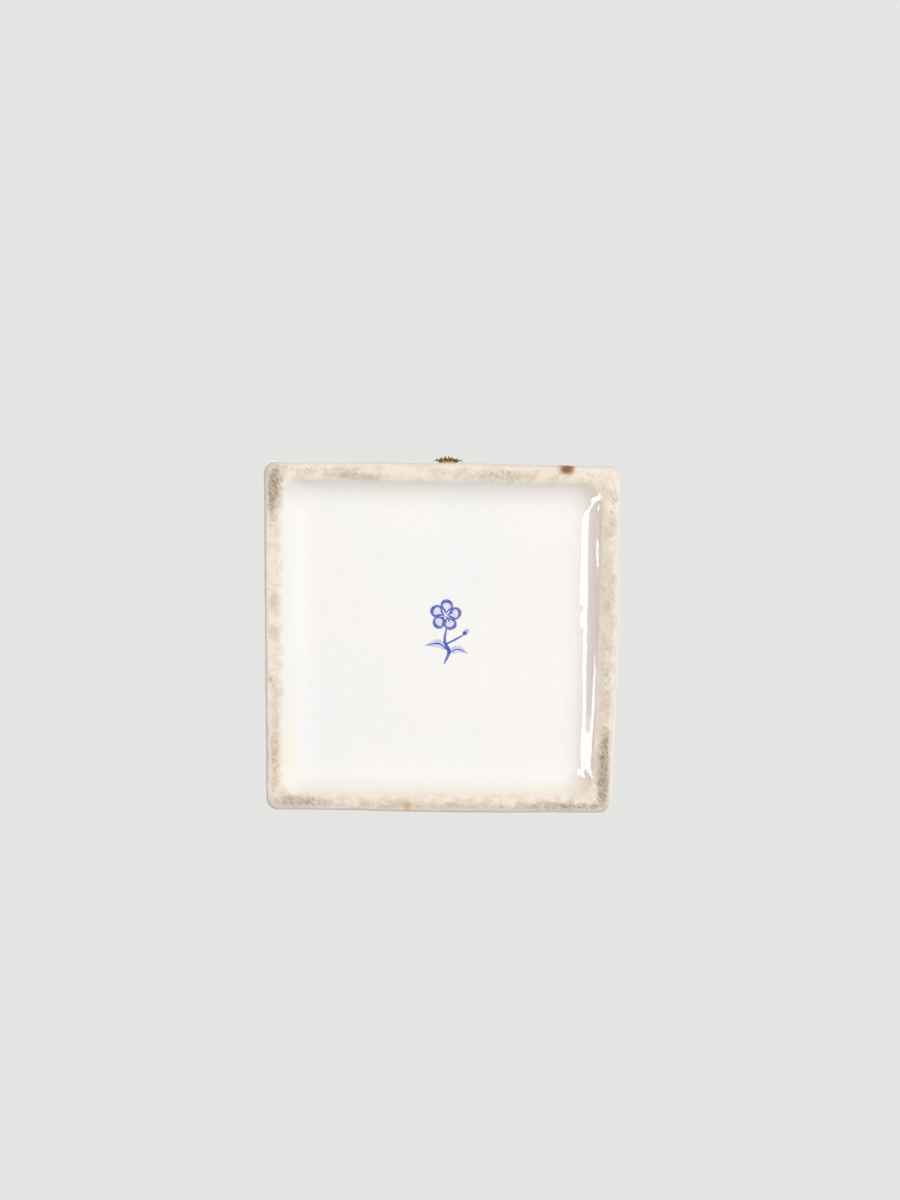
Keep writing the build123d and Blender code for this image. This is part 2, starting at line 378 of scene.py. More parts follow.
def smooth_line(points, spacing):
    """Points close together along a Catmull-Rom curve through a stroke's points."""
    held = [points[0] * 2 - points[1]] + points + [points[-1] * 2 - points[-2]]
    line = []
    for a, b, c, d in zip(held, held[1:], held[2:], held[3:]):
        steps = max(2, ceil((c - b).length / spacing))
        for step in range(steps):
            t = step / steps
            bend = (2 * a - 5 * b + 4 * c - d) * t**2 + (3 * b - a - 3 * c + d) * t**3
            line.append(b + ((c - a) * t + bend) / 2)
    return line + [points[-1]]


# A stroke fades out round its width, and holds less cobalt along its middle than at its edge
stroke_end, stroke_fade = 1.2, 0.4
middle_share, edge_gain = 0.74, 0.3


def ink_on(points, strokes):
    """How much cobalt lies on each point. Washes darken where they cross."""
    spots = np.array(points)[:, :2]
    bare = np.ones(len(spots))
    for stroke, widths, density in strokes:
        line = np.array([tuple(point) for point in smooth_line(stroke, max(0.05, min(widths) * 0.6))])
        share = np.linspace(0, 1, len(line))
        width = np.interp(share, np.linspace(0, 1, len(widths)), widths)
        margin = max(widths) * 1.3
        low, high = line.min(axis=0) - margin, line.max(axis=0) + margin
        near = np.where(np.all((spots > low) & (spots < high), axis=1))[0]
        nearest = np.full(len(near), np.inf)
        for index in range(len(line)):
            gap = np.hypot(*(spots[near] - line[index]).T) / width[index]
            nearest = np.minimum(nearest, gap)
        inside = np.clip((stroke_end - nearest) / stroke_fade, 0, 1)
        inside = inside * inside * (3 - 2 * inside)
        pool = middle_share + edge_gain * np.clip(nearest, 0, 1) ** 3
        bare[near] *= 1 - density * inside * pool
    return 1 - bare


def edge_swell(across, along, share, bulge, spot):
    """How far a place moves out: its side bulges most half way along, and wobbles."""
    bow = 1 - (along / half_side) ** 2
    wobble = noise.noise(Vector(spot) * edge_wobble_pitch) + edge_wobble_bias
    swell = copysign(share * (bulge * bow + edge_wobble * wobble), across)
    return swell * smooth_share(abs(across), *bulge_places)


def kiln_move(point):
    """Where a point comes to lie after firing: the foot's edges swell a little and are never quite even."""
    x, y, z = point
    low = 1 - smooth_share(z, *bulge_heights)
    if low > 0:
        share = low * (max(abs(x), abs(y)) / half_side) ** edge_sharpness
        bulge_x = edge_bulge["right" if x > 0 else "left"]
        bulge_y = edge_bulge["back" if y > 0 else "front"]
        move_x = edge_swell(x, y, share, bulge_x, (x, y * 0.9, z * 2))
        move_y = edge_swell(y, x, share, bulge_y, (x * 0.9, y + 40, z * 2))
        x, y = x + move_x, y + move_y
    if z < recess_depth + 0.01:
        spot = Vector((x, y, 5.0))
        inside = smooth_share(mouth_half - max(abs(x), abs(y)), *recess_wave_places)
        wave = recess_wave * noise.noise(spot * recess_wave_pitch)
        z -= inside * (wave + recess_ripple * noise.noise(spot * recess_ripple_pitch))
    return (x, y, z)


def porcelain_form(outer_rows, inner_rows, outer_floor, inner_floor, paint, strokes):
    """A porcelain half: a floor of lines at each end, and rounded-square rings between them.

    The value reach is how far a point's ring stands from the middle, below zero on the inner side."""
    x_lines, y_lines = (spaced_lines(*across) for across in paint)
    form = Form("reach", "ink")

    def add_floor(height, side):
        spots = [(x, y) for y in y_lines for x in x_lines]
        ink = ink_on(spots, strokes) if side > 0 else [0.0] * len(spots)
        points = [kiln_move((x, y, height(x, y))) for x, y in spots]
        first = form.add_points(points, reach=[side * max(abs(x), abs(y)) for x, y in spots], ink=ink)
        form.grid(len(y_lines), len(x_lines), first)

    add_floor(outer_floor, 1)
    before = None
    for side, rows in ((1, outer_rows), (-1, inner_rows)):
        for half, height, corner in rows:
            spots = square_ring(half, corner, x_lines, y_lines)
            points = [kiln_move((x, y, height(x, y))) for x, y in spots]
            first = form.add_points(points, reach=[side * half] * len(spots))
            if before is not None:
                form.bridge(before, first, len(spots))
            before = first
    add_floor(inner_floor, -1)
    return form


def level(z):
    return lambda x, y: z


def path_rows(corners, steps, longest):
    return [(half, level(z), plan) for half, z, plan in with_steps(rounded_path(corners, steps), longest)]


def make_base_form():
    """Rows from the recess out over the foot and up the wall, then down inside to the inner floor."""
    foot_and_wall = [
        (floor_square, recess_depth, 0, 0),
        (recess_rise_half, recess_depth, recess_rise_corner, recess_rise_bend),
        (recess_half, recess_edge_z, recess_corner, recess_cove),
        (mouth_half, 0, mouth_corner, foot_inner_round),
        (half_side, 0, outer_corner, foot_outer_round),
        (half_side, base_rim_z, outer_corner, rim_ease),
        (base_inner_half + 1, base_rim_z, inner_corner, 0),
    ]
    hollow = [
        (base_inner_half + 1, base_rim_z, inner_corner, 0),
        (base_inner_half, base_rim_z, inner_corner, rim_ease),
        (base_inner_half, floor_z, inner_corner, floor_cove),
        (floor_square, floor_z, 0, 0),
    ]
    return porcelain_form(
        path_rows(foot_and_wall, steps=9, longest=1.6),
        path_rows(hollow, steps=7, longest=3.0),
        level(recess_depth),
        level(floor_z),
        recess_paint,
        recess_sprig(),
    )


def ball_height(radius):
    """The height of the crown's ball, or of one inside it, over a point."""
    return lambda x, y: crown_z - crown_ball + sqrt(radius**2 - x**2 - y**2)


def below(height, drop):
    return lambda x, y: height(x, y) - drop


def shoulder_rows(half_wall, corner, radius, height, steps=8):
    """Rows from a wall up over a round shoulder, onto a surface that crowns."""
    rows = []
    for step in range(steps + 1):
        angle = pi / 2 * step / steps
        inset = radius * (1 - cos(angle))
        rows.append((half_wall - inset, below(height, radius * (1 - sin(angle))), corner - inset))
    return rows


def make_lid_form():
    """Rows from the crown out over the shoulder and down the wall, then up inside to the ceiling."""
    roof, ceiling = ball_height(crown_ball), ball_height(crown_ball - roof_thickness)
    crown_rows = [(half, roof, corner) for half, corner in crown_squares]
    crown_rows += reversed(shoulder_rows(half_side, outer_corner, shoulder_radius, roof))
    outer_wall = [
        (half_side, wall_top, outer_corner, 0),
        (half_side, lid_rim_z, outer_corner, rim_ease),
        (lid_inner_half + 1, lid_rim_z, inner_corner, 0),
    ]
    inner_wall = [
        (lid_inner_half + 1, lid_rim_z, inner_corner, 0),
        (lid_inner_half, lid_rim_z, inner_corner, rim_ease),
        (lid_inner_half, hollow_top, inner_corner, 0),
    ]
    ceiling_rows = shoulder_rows(lid_inner_half, inner_corner, ceiling_cove, ceiling)
    ceiling_rows += [(half, ceiling, corner) for half, corner in ceiling_squares]
    return porcelain_form(
        crown_rows + path_rows(outer_wall, steps=3, longest=1.4),
        path_rows(inner_wall, steps=3, longest=2.5) + ceiling_rows,
        roof,
        ceiling,
        crown_paint,
        crown_branch(),
    )


class Nodes:
    """Builds a node tree. A value is a number, a colour, a vector or another node's output."""

    def __init__(self, tree):
        self.tree = tree

    def node(self, kind, *values, **settings):
        """A new node with its settings, and with values in its first sockets."""
        made = self.tree.nodes.new(kind)
        for key, value in settings.items():
            setattr(made, key, value)
        self.feed(made.inputs, *values)
        return made

    def feed(self, sockets, *values):
        """Sets the first sockets to numbers or colours, or links other nodes' outputs to them."""
        for socket, value in zip(sockets, values):
            if isinstance(value, bpy.types.NodeSocket):
                self.tree.links.new(value, socket)
            elif value is not None:
                coloured = socket.type == "RGBA" and len(value) == 3
                socket.default_value = (*value, 1) if coloured else value

    def put(self, made, **values):
        """Sets sockets by their names, with _ for a space."""
        for name, value in values.items():
            self.feed([made.inputs[name.replace("_", " ")]], value)

    def vector(self, operation, a, b=None, scale=None):
        made = self.node("ShaderNodeVectorMath", a, b, operation=operation)
        if scale is not None:
            self.put(made, Scale=scale)
        return made.outputs["Value" if operation == "LENGTH" else "Vector"]

    def maths(self, operation, a, *others):
        """An operation on one value, or on the result so far and each other value in turn."""
        for b in others or (None,):
            a = self.node("ShaderNodeMath", a, b, operation=operation).outputs[0]
        return a

    def times(self, *values):
        return self.maths("MULTIPLY", *values) if len(values) > 1 else values[0]

    def plus(self, *values):
        return self.maths("ADD", *values)

    def most(self, *values):
        return self.maths("MAXIMUM", *values)

    def span(self, value, low, high, start=0.0, end=1.0):
        """A smooth step of a value from low to high, or from high down where low is the larger."""
        places = (low, high, start, end)
        made = self.node("ShaderNodeMapRange", value, *places, interpolation_type="SMOOTHSTEP")
        return made.outputs["Result"]

    def mix(self, share, a, b):
        """A colour between two."""
        made = self.node("ShaderNodeMix", data_type="RGBA")
        self.feed([made.inputs[0], made.inputs[6], made.inputs[7]], share, a, b)
        return made.outputs[2]

    def blend(self, share, a, b):
        """A surface between two."""
        return self.node("ShaderNodeMixShader", share, a, b).outputs[0]


class Shader(Nodes):
    """A Principled material whose textures are laid out in the object's own millimetres.

    Tints are laid over its colour one after another."""

    def __init__(self, name, colour):
        self.material = bpy.data.materials.new(name)
        self.material.use_nodes = True
        super().__init__(self.material.node_tree)
        self.colour = colour
        place_on_object = self.node("ShaderNodeTexCoord").outputs["Object"]
        self.spot = self.vector("SCALE", place_on_object, scale=1 / MM)
        self.x, self.y, self.z = self.node("ShaderNodeSeparateXYZ", self.spot).outputs

    def lay(self, tint, *shares):
        """Lays a tint over the colour so far, as strongly as the product of its shares."""
        self.colour = self.mix(self.times(*shares), self.colour, tint)

    def finish(self, roughness, normal, **others):
        """The material, with the colour so far, its roughness and normal, and its other values set."""
        surface = self.tree.nodes["Principled BSDF"]
        self.put(surface, Base_Color=self.colour, Roughness=roughness, Normal=normal, **others)
        return self.material

    def band(self, value, middle, half_width, soft):
        """1 within half_width of the middle, fading to 0 over soft."""
        away = self.maths("ABSOLUTE", self.maths("SUBTRACT", value, middle))
        return self.span(away, half_width + soft, half_width)

    def cloud(self, scale, detail=3.0, roughness=0.5, distortion=0.0, spot=None):
        """Noise from 0 to 1, with a scale in cycles for each millimetre."""
        made = self.node("ShaderNodeTexNoise", self.spot if spot is None else spot)
        self.put(made, Scale=scale, Detail=detail, Roughness=roughness, Distortion=distortion)
        return made.outputs["Fac"]

    def waver(self, reach, *cloud, **place):
        """Noise about zero, with a reach that is twice how far it goes either way."""
        return self.times(self.plus(self.cloud(*cloud, **place), -0.5), reach)

    def stretched(self, angle, along, across, deep=1.0):
        """The place turned about Z and scaled, so that noise on it runs in streaks."""
        turned = self.node("ShaderNodeVectorRotate", rotation_type="Z_AXIS")
        self.put(turned, Vector=self.spot, Angle=radians(-angle))
        return self.vector("MULTIPLY", turned.outputs[0], (along, across, deep))

    def specks(self, scale, size, share):
        """Small round dots, one in a share of the cells of a grid with scale cells for each millimetre."""
        cells = self.node("ShaderNodeTexVoronoi", feature="F1")
        self.put(cells, Vector=self.spot, Scale=scale)
        dot = self.span(cells.outputs["Distance"], size * scale, size * scale * 0.5)
        lot = self.node("ShaderNodeSeparateColor", cells.outputs["Color"]).outputs[0]
        return self.times(dot, self.maths("GREATER_THAN", lot, 1 - share))

    def oval(self, middle, reach):
        """How far out a place lies from an oval's middle: 1 on the oval."""
        offset = self.vector("SUBTRACT", self.spot, (*middle, 0))
        return self.vector("LENGTH", self.vector("MULTIPLY", offset, (1 / reach[0], 1 / reach[1], 0)))

    def stain(self, middle, reach, ragged, core):
        """A ragged oval stain: 1 within its core, fading out to its reach."""
        return self.span(self.plus(self.oval(middle, reach), self.waver(ragged, 0.9, 4, 0.6)), 1, core)

    def soiling(self, places, fray):
        """How soiled the surface is, from a table of places."""
        return self.most(
            *(
                self.span(self.plus(self.oval((x, y), reach), fray), 1.25, 0.35, 0.0, strength)
                for x, y, *reach, strength in places
            )
        )

    def attribute(self, name):
        return self.node("ShaderNodeAttribute", attribute_name=name).outputs["Fac"]

    def bump(self, height, depth, before=None):
        """A normal from a height of 0 to 1 that stands for a depth in millimetres."""
        made = self.node("ShaderNodeBump")
        self.put(made, Distance=depth * MM, Height=height, Normal=before)
        return made.outputs[0]


# Colours are linear
glaze_white = (0.90, 0.885, 0.865)
glaze_cool = (0.87, 0.88, 0.88)
glaze_cream = (0.87, 0.83, 0.735)
# The milky, pink and grey glaze tints below darken the glaze where less light falls: painted shade, the pink
# one over a real pinkish tone
glaze_left_painted_shade = (0.845, 0.84, 0.825)
glaze_pink_and_shade = (0.895, 0.85, 0.84)
glaze_painted_shade = (0.765, 0.66, 0.585)
glaze_mouth_beige = (0.79, 0.69, 0.58)
glaze_edge = (0.74, 0.67, 0.58)
glaze_edge_left = (0.60, 0.53, 0.44)
glaze_edge_back = (0.58, 0.51, 0.41)
biscuit_pale = (0.86, 0.77, 0.66)
biscuit_beige = (0.70, 0.58, 0.46)
biscuit_grey = (0.40, 0.32, 0.24)
dirt_brown = (0.20, 0.145, 0.095)
iron_red = (0.25, 0.095, 0.042)
iron_orange = (0.60, 0.33, 0.13)
cobalt_deep = (0.045, 0.06, 0.50)
cobalt_wash = (0.36, 0.39, 0.68)


# Painted lines: place, half width, and where in the noise each one takes its waver
crown_lines = [(35.4, 0.42, 3.0), (33.9, 0.16, 9.0)]
skirt_lines = [(lid_rim_z + 6.0, 0.3, 17.0)]
wall_lines = [(3.6, 0.34, 5.0), (4.9, 0.14, 11.0), (collar_low.z - 2.0, 0.2, 23.0)]
line_density = 0.85


def brush_line(shader, value, middle, half_width, seed_shift):
    """A hand-drawn line at one height, which wanders, swells and thins."""
    spot = shader.vector("ADD", shader.spot, (seed_shift, seed_shift, 0))
    sway = shader.waver(0.7, 0.09, 2, spot=spot)
    swell = shader.span(shader.cloud(0.16, 3, spot=spot), 0.3, 0.7, 0.6, 1.15)
    away = shader.maths("ABSOLUTE", shader.plus(shader.maths("SUBTRACT", value, middle), sway))
    return shader.span(shader.maths("DIVIDE", away, swell), half_width * 1.5, half_width * 0.6)


def lay_cobalt(shader, *painted):
    """The brush painting and the painted lines, each line's value with the lines on it and where they show.

    Cobalt under the glaze is a pale wash where it is thin and deep blue where it is thick."""
    lines = [
        shader.times(brush_line(shader, value, *line), where, line_density)
        for value, drawn, where in painted
        for line in drawn
    ]
    ink = shader.plus(shader.attribute("ink"), *lines)
    held = shader.times(ink, shader.span(shader.cloud(1.1, 4, 0.6), 0.25, 0.7, 0.72, 1.08))
    blue = shader.mix(shader.span(held, 0.15, 0.85), cobalt_wash, cobalt_deep)
    shader.lay(blue, shader.span(held, 0.03, 0.62))


def start_glaze(name):
    """Clear glaze over white porcelain, with slow drifts between cool, pink and cream, and iron specks. The
    pink lies more strongly towards +X, as painted shade over the glaze's own pinkish tone.
    """
    shader = Shader(name, glaze_white)
    shader.lay(glaze_cool, shader.span(shader.cloud(0.028, 2), 0.42, 0.68))
    # Painted shade over a real pinkish tone: a pinker, slightly darker tint that grows towards +X
    pinkish = shader.span(shader.cloud(0.035, 2), 0.2, 0.7)
    shader.lay(glaze_pink_and_shade, shader.span(shader.x, -4, 34), pinkish, 0.8)
    shader.lay(glaze_cream, shader.span(shader.cloud(0.55, 4, 0.6), 0.35, 0.75, 0.0, 0.22))
    outside = shader.span(shader.attribute("reach"), -0.5, 0.5)
    shader.lay(dirt_brown, shader.specks(0.13, 0.14, 0.10), outside, 0.55)
    shader.lay(iron_orange, shader.specks(0.32, 0.07, 0.05), outside, 0.4)
    return shader


def finish_glaze(shader, bare=None):
    """A glossy coat with faint orange peel, and a dry, fine-grained skin where the body is bare."""
    rough = shader.span(shader.cloud(0.4, 3), 0.3, 0.75, 0.05, 0.13)
    normal = shader.bump(shader.cloud(0.42, 2, 0.45), 0.022)
    if bare is not None:
        glazed = shader.maths("SUBTRACT", 1.0, bare)
        rough = shader.plus(shader.times(rough, glazed), shader.times(bare, 0.78))
        normal = shader.bump(shader.times(bare, shader.cloud(5.5, 4, 0.7)), 0.05, normal)
    return shader.finish(rough, normal, IOR=1.52, Specular_IOR_Level=0.55)


def make_lid_porcelain():
    shader = start_glaze("porcelain_lid_glaze")
    reach = shader.attribute("reach")
    on_crown = shader.span(reach, half_side - 0.2, half_side - 1.2)
    on_wall = shader.span(reach, half_side - 0.4, half_side - 0.1)
    lay_cobalt(shader, (reach, crown_lines, on_crown), (shader.z, skirt_lines, on_wall))
    return finish_glaze(shader)


# Where the foot's flat is soiled: each place along X and Y, its reach both ways, and how strongly
streaked_places = [
    (-38.2, -34.4, 2.3, 3.6, 1.0), (-38.4, -26.0, 1.5, 6.5, 0.6), (-38.5, -14.0, 1.2, 6.0, 0.4),
    (-30.5, -38.6, 7.5, 1.5, 0.6), (-18.6, -38.6, 2.6, 0.9, 0.6), (12.8, -37.6, 5.2, 1.9, 0.75),
    (2.3, -37.6, 4.0, 1.6, 0.4), (33.6, -37.8, 1.5, 1.2, 0.9), (38.5, -31.0, 1.1, 9.0, 0.75),
    (38.4, -10.0, 0.9, 2.4, 0.6), (38.1, 8.0, 1.0, 4.5, 0.7), (38.4, 27.0, 1.2, 8.5, 1.0),
    (37.8, 35.6, 2.4, 4.0, 1.0), (31.0, 39.0, 9.0, 1.4, 0.95), (14.0, 39.1, 3.6, 0.8, 0.6),
    (1.2, 39.1, 1.0, 0.7, 0.7), (-12.0, 39.2, 3.0, 0.8, 0.5), (-33.0, 38.2, 7.5, 1.8, 0.6),
    (-37.6, 24.2, 1.3, 1.1, 1.0), (-38.1, 28.6, 1.2, 4.0, 0.7), (-38.4, 9.4, 1.0, 1.6, 0.5),
]
smeared_places = [
    (-38.3, -34.6, 2.8, 6.5, 1.7), (-19.5, -36.9, 7.0, 1.0, 0.9), (13.0, -37.2, 8.0, 1.9, 0.6),
    (37.6, 4.0, 2.2, 34.0, 0.4), (38.2, 30.0, 1.8, 12.0, 1.6), (28.0, 39.0, 15.0, 1.7, 1.2),
    (0.0, 39.3, 36.0, 1.6, 0.75), (-32.5, 38.3, 9.0, 2.1, 1.0), (-38.0, 22.0, 1.3, 16.0, 0.4),
]
# Iron spots: middle, reach, and how strong the orange halo and the red core are
iron_spots = [
    ((27.7, -39.2), (2.9, 2.0), 0.85, 0.95),
    ((-7.3, 38.7), (1.5, 1.2), 0.8, 0.0),
    ((-38.8, 9.3), (0.8, 1.1), 0.6, 0.0),
]


def make_base_porcelain():
    shader = start_glaze("porcelain_base_glaze")
    span, x, y, z = shader.span, shader.x, shader.y, shader.z
    reach = shader.attribute("reach")
    wandering = shader.plus(reach, shader.waver(1.3, 0.21, 4, 0.6))
    recess_only = span(reach, half_side - 1, mouth_half + 0.3)
    under = span(z, 0.9, 0.3)

    # Glaze pools cream in the recess's left and back coves. A grey-beige tint in the right cove, and faintly
    # in the front cove, is painted shade. A milky tint over the left cove is painted shade that dims the
    # side the lamps light most.
    cove = shader.times(span(wandering, 31.0, 35.0), recess_only, span(z, floor_z - 1, recess_depth + 0.5))
    left_side = span(x, -28, -35)
    cream_side = shader.most(shader.times(left_side, span(y, -4, 26)), span(y, 28, 35))
    painted_shade_side = shader.most(span(x, 27, 34), span(y, -28, -35, 0.0, 0.3))
    # Painted shade: a milky tint that dims the left cove, where the lamps fall most strongly
    shader.lay(glaze_left_painted_shade, cove, left_side)
    shader.lay(glaze_cream, cove, cream_side, 0.75)
    # Painted shade: a grey-beige tint over the right cove and, faintly, the front cove
    shader.lay(glaze_painted_shade, cove, painted_shade_side, 0.75)

    # The glaze thins to a beige line round the foot's outer edge
    edge_colour = shader.mix(span(x, -34, -39), glaze_edge, glaze_edge_left)
    edge_colour = shader.mix(span(y, 34, 39), edge_colour, glaze_edge_back)
    shader.lay(edge_colour, span(wandering, half_side - 1.6, half_side - 0.3), span(z, 2.2, 0.4), 0.9)

    # A beige tint runs from the flat a little way down into the recess, most of all on the right
    near_flat = span(wandering, mouth_half - 2.8, mouth_half + 0.4)
    beige_near_flat = shader.times(near_flat, recess_only, span(z, 3.2, 2.4))
    shader.lay(glaze_mouth_beige, beige_near_flat, span(x, 29, 35, 0.24, 0.62), span(x, -36, -30, 0.2, 1.0))

    # The foot's flat is bare and soiled, and the glaze feathers out onto it on both sides
    inner_edge = span(wandering, mouth_half - 1.9, mouth_half + 0.9)
    outer_edge = span(wandering, half_side - 0.1, half_side - 1.5)
    bare = shader.times(inner_edge, outer_edge, under)
    streaks = shader.cloud(1.0, 4, 0.65, 0.3, shader.stretched(45, 0.8, 2.7))
    fray = shader.waver(1.5, 0.45, 4, 0.65)
    glazed, shader.colour = shader.colour, biscuit_pale
    shader.lay(biscuit_beige, span(shader.cloud(0.3, 4, 0.6), 0.38, 0.72))
    smeared = shader.soiling(smeared_places, fray)
    shader.lay(biscuit_grey, smeared, span(streaks, 0.28, 0.62, 0.35, 1.0), 0.7)
    streaked = shader.most(shader.soiling(streaked_places, fray), 0.16)
    shader.lay(dirt_brown, streaked, span(streaks, 0.50, 0.66), 0.85)
    shader.lay(biscuit_grey, span(shader.cloud(3.2, 4, 0.65), 0.58, 0.80, 0.0, 0.22))
    shader.colour = shader.mix(bare, glazed, shader.colour)

    # Iron spots from the kiln
    for middle, halo_reach, halo, core in iron_spots:
        core_reach = [across * 0.72 for across in halo_reach]
        shader.lay(iron_orange, shader.stain(middle, halo_reach, 0.7, 0.2), under, halo)
        shader.lay(iron_red, shader.stain(middle, core_reach, 0.6, 0.3), under, core)

    on_wall = shader.times(span(reach, half_side - 0.4, half_side - 0.1), span(z, 1.0, 1.4))
    lay_cobalt(shader, (z, wall_lines, on_wall))
    return finish_glaze(shader, bare)


gilt_bright = (0.80, 0.58, 0.25)
gilt_warm = (0.68, 0.45, 0.18)
brass_bare = (0.62, 0.48, 0.26)
pin_bright, pin_worn = (0.70, 0.55, 0.30), (0.56, 0.43, 0.24)
shell_gold = (0.33, 0.24, 0.11)
shell_dull = (0.25, 0.185, 0.11)
tarnish_brown = (0.13, 0.09, 0.05)


def make_brass(name, bright, worn, tarnish_share, lined=(), hollows=False):
    """Gilding worn through to brass, with brown tarnish, rubbed patches and fine scratches.

    Lined holds engraved heights, and hollows darken where the piece's own value hollow says so."""
    shader = Shader(name, bright)
    span, cloud = shader.span, shader.cloud
    shader.lay(worn, span(cloud(0.16, 5, 0.6), 0.42, 0.64))
    shader.lay(gilt_warm, span(cloud(0.9, 4, 0.65), 0.35, 0.75), 0.35)
    blotches = span(cloud(0.55, 5, 0.7), 0.66 - tarnish_share, 0.80 - tarnish_share)
    spots = shader.times(blotches, span(cloud(2.6, 3, 0.6), 0.3, 0.6))
    shader.lay(tarnish_brown, spots, 0.75)
    if hollows:
        shader.lay(tarnish_brown, shader.attribute("hollow"), 0.9)
    scratches = cloud(1.0, 3, 0.7, 0.4, shader.stretched(12, 0.5, 9.0, 9.0))
    normal = shader.bump(cloud(0.7, 2), 0.03, shader.bump(scratches, 0.006))
    for middle in lined:
        groove = shader.band(shader.z, middle, 0.05, 0.09)
        shader.lay(tarnish_brown, groove, 0.65)
        normal = shader.bump(shader.maths("SUBTRACT", 1.0, groove), 0.06, normal)
    polish = span(cloud(0.35, 4), 0.3, 0.7, 0.17, 0.32)
    rough = shader.plus(polish, shader.times(spots, 0.3), shader.times(scratches, 0.08))
    return shader.finish(rough, normal, Metallic=1.0)


plaster_pale, plaster_grey = (0.80, 0.76, 0.68), (0.52, 0.46, 0.37)


def make_plaster():
    shader = Shader("plaster_bed", plaster_pale)
    grain = shader.cloud(2.4, 5, 0.7)
    shader.lay(plaster_grey, shader.span(grain, 0.3, 0.75))
    return shader.finish(shader.span(grain, 0.2, 0.8, 0.82, 0.96), shader.bump(grain, 0.06))


paste_red = (0.68, 0.042, 0.015)
paste_deep = (0.40, 0.014, 0.009)
paste_fibre_red = (0.78, 0.10, 0.05)
paste_pit_shade = (0.13, 0.006, 0.005)


def make_paste_material(name, dry):
    """Cinnabar paste: vermilion with paler fibres, painted shade in its pits, and an uneven oily shine."""
    shader = Shader(name, paste_deep)
    fibres = shader.cloud(1.3, 5, 0.7, 2.2)
    lumps = shader.cloud(0.28, 4, 0.6)
    pits = shader.cloud(0.6, 5, 0.65, 1.0)
    shader.lay(paste_red, shader.span(lumps, 0.32, 0.72))
    shader.lay(paste_fibre_red, shader.span(fibres, 0.54, 0.74, 0.0, 0.5 + dry))
    # Painted shade: dark red where the pits sink in the bump
    shader.lay(paste_pit_shade, shader.span(pits, 0.44, 0.28, 0.0, 0.8))
    rough = shader.span(lumps, 0.3, 0.7, 0.22 + dry, 0.48 + dry)
    normal = shader.bump(fibres, 0.30, shader.bump(pits, 0.45))
    return shader.finish(rough, normal, Specular_IOR_Level=0.35)


# Seal paste: a kneaded mound, with folds that spiral out from its middle, lumps and a fine grain
paste_turn_steps = 288
paste_fold_count, paste_fold_depth = 3, 1.8
paste_fold_twist, paste_fold_stray, paste_fold_stray_pitch = 0.27, 2.2, 0.07
paste_fold_places, paste_ridge_power = (0.5, 7), 0.42
paste_lump_pitch, paste_lump_depth, paste_lump_inset = 0.17, 0.7, 0.4
paste_grain_depth, paste_grain_inset = 0.5, 0.3
paste_edge_places, paste_edge_wobble = (14, 25), 1.5


def paste_profile():
    """The mound's section as (radius, height), from the middle of its foot to the middle of its top."""
    foot = paste_low.z + 0.03
    reach = paste_high.x
    top = paste_high.z - 0.15
    corners = [
        (0.2, foot, 0, 0),
        (reach - 1.5, foot, 0, 1.0),
        (reach + 0.75, foot + 4.4, 0, 3.2),
        (16.0, top - 0.75, 0, 26.0),
        (0.2, top, 0, 0),
    ]
    return [(radius, z) for radius, z, _ in with_steps(rounded_path(corners, steps=12), 0.5)]


def paste_point(radius, z, angle):
    """A point of the mound, with spiral folds on top and a wandering edge."""
    around = Vector((cos(angle), sin(angle), 0)) * 2.2
    top = smooth_share(z, paste_low.z + 3.5, paste_low.z + 6.5)
    outer = smooth_share(radius, *paste_edge_places)
    shrink = paste_edge_wobble * outer * (0.5 + 0.5 * noise.noise(around * 0.8 + Vector((0, 0, z * 0.08))))
    x, y = radius * cos(angle), radius * sin(angle)
    here = Vector((x, y, z))
    stray = paste_fold_stray * noise.noise(here * paste_fold_stray_pitch)
    fold_phase = (paste_fold_count * angle + paste_fold_twist * radius + stray) / 2
    ridge = abs(sin(fold_phase)) ** paste_ridge_power
    fade = smooth_share(radius, *paste_fold_places) * (1 - 0.45 * outer)
    lumps = 0.5 + 0.5 * noise.noise(here * paste_lump_pitch)
    fine = 0.5 + 0.35 * noise.noise(here * 0.5) + 0.15 * noise.noise(here * 1.2)
    folds = paste_fold_depth * (1 - ridge) * fade
    drop = top * (folds + paste_lump_depth * lumps + paste_grain_depth * fine)
    scale = (radius - shrink - paste_lump_inset * lumps * outer - paste_grain_inset * fine * outer) / radius
    return (x * scale, y * scale, z - drop)


def make_paste():
    angles = turns(paste_turn_steps)
    form = Form()
    form.sleeve([[paste_point(radius, z, angle) for angle in angles] for radius, z in paste_profile()])
    return form.make("seal_paste_mound")


fibre_count = 320
fibre_radius = 0.065
fibre_steps = 9
fibre_stride = 0.34
fibre_spread = 25.0
fibre_curl = 0.5
fibre_arch, fibre_sunk = 0.07, 0.03
fibre_seed = 11
fibre_sides = turns(4)


def fibre_line(mound, draw):
    """Points along one short fibre on the paste's skin. It ends early where it leaves the paste."""
    radius, angle = fibre_spread * sqrt(draw.random()), tau * draw.random()
    heading, curl = tau * draw.random(), draw.uniform(-fibre_curl, fibre_curl)
    x, y = radius * cos(angle), radius * sin(angle)
    line = []
    for step in range(fibre_steps):
        hit, spot, _, _ = mound.ray_cast(Vector((x, y, 40)) * MM, Vector((0, 0, -1)))
        if not hit:
            break
        arch = sin(pi * step / (fibre_steps - 1))
        line.append(Vector((x, y, spot.z / MM + fibre_arch * arch - fibre_sunk)))
        x += fibre_stride * cos(heading)
        y += fibre_stride * sin(heading)
        heading += curl
    return line


